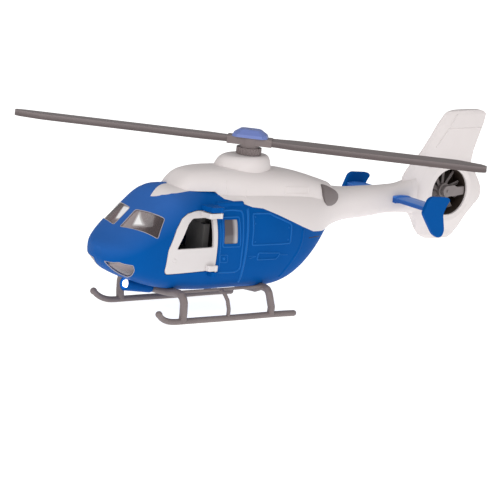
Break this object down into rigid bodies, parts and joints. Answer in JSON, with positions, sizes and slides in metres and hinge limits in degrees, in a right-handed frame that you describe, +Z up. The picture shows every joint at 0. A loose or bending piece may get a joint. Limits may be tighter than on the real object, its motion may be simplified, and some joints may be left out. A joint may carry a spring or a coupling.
{
  "type": "toy helicopter",
  "caption": "Moulded toy helicopter on skids with turning main rotor, ducted tail fan and opening rear-hinged cockpit doors.",
  "frame": {"origin": "centre of the bounding box at the plane the skids stand on", "axes": "+X to the nose, +Y to the port side, +Z up"},
  "size_m": [0.3334, 0.231, 0.1284],
  "materials": {
    "blue_plastic": "semi-gloss moulded",
    "stabiliser_blue": "semi-gloss moulded",
    "white_plastic": "semi-gloss moulded, warm white",
    "grey_plastic": "satin warm grey",
    "dark_grey_plastic": "satin",
    "tinted_glazing": "tinted clear plastic",
    "lamp_lens": "clear LED lens",
    "seat_grey": "satin",
    "dark_interior": "satin black",
    "steel": "plated"
  },
  "bodies": {
    "airframe": {"battery_box": "dark_interior", "belly_screw_1": "steel", "belly_screw_2": "steel", "belly_screw_3": "steel", "belly_screw_4": "steel", "brace_left": "grey_plastic", "brace_right": "grey_plastic", "button_cell_1": "steel", "button_cell_2": "steel", "button_cell_3": "steel", "cabin_floor": "dark_interior", "chin_window_left": "tinted_glazing", "chin_window_right": "tinted_glazing", "control_stick_left": "dark_interior", "control_stick_right": "dark_interior", "cowling": "white_plastic", "endplate_left": "blue_plastic", "endplate_right": "blue_plastic", "exhaust_left": "dark_grey_plastic", "exhaust_right": "dark_grey_plastic", "front_crossbar": "grey_plastic", "fuselage_left": "blue_plastic", "fuselage_right": "blue_plastic", "instrument_panel": "dark_interior", "mast_pedestal": "white_plastic", "motor_bracket": "dark_interior", "pilot_seat_left": "seat_grey", "pilot_seat_right": "seat_grey", "rear_bench": "seat_grey", "rear_bulkhead": "dark_interior", "rear_crossbar": "grey_plastic", "rear_window_left": "tinted_glazing", "rear_window_right": "tinted_glazing", "rotor_motor": "steel", "searchlight_lamp": "lamp_lens", "searchlight_pod": "blue_plastic", "skid_left": "grey_plastic", "skid_right": "grey_plastic", "stabiliser_left": "stabiliser_blue", "stabiliser_right": "stabiliser_blue", "switch_body": "dark_interior", "tail_boom_left": "white_plastic", "tail_boom_right": "white_plastic", "tail_duct_liner": "grey_plastic", "tail_stator": "grey_plastic", "tail_unit_left": "white_plastic", "tail_unit_right": "white_plastic", "windscreen_left": "tinted_glazing", "windscreen_right": "tinted_glazing"},
    "rotor": {"cap_screw": "steel", "rotor_blade_1": "grey_plastic", "rotor_blade_2": "grey_plastic", "rotor_cap": "blue_plastic", "rotor_collar": "grey_plastic", "rotor_hub": "grey_plastic", "rotor_shaft": "grey_plastic"},
    "tail_rotor": {"tail_fan": "grey_plastic"},
    "left_door": {"cockpit_door_left": "white_plastic"},
    "right_door": {"cockpit_door_right": "white_plastic"},
    "power_switch": {"switch_slider": "dark_interior"}
  },
  "joints": [
    {"name": "main_rotor_spin", "type": "hinge", "parent": "airframe", "child": "rotor", "pos_m": [0.04625, 0, 0.1139], "axis": [0, 0, 1], "continuous": true},
    {"name": "tail_fan_spin", "type": "hinge", "parent": "airframe", "child": "tail_rotor", "pos_m": [-0.13335, 0, 0.0724], "axis": [0, 1, 0], "continuous": true},
    {"name": "left_door_hinge", "type": "hinge", "parent": "airframe", "child": "left_door", "pos_m": [0.09425, 0.0344, 0.05], "axis": [0, 0, 1], "range_deg": [0, 75]},
    {"name": "right_door_hinge", "type": "hinge", "parent": "airframe", "child": "right_door", "pos_m": [0.09425, -0.0344, 0.05], "axis": [0, 0, -1], "range_deg": [0, 75]},
    {"name": "power_switch_slide", "type": "slide", "parent": "airframe", "child": "power_switch", "axis": [1, 0, 0], "range_m": [0, 0.0014]}
  ]
}
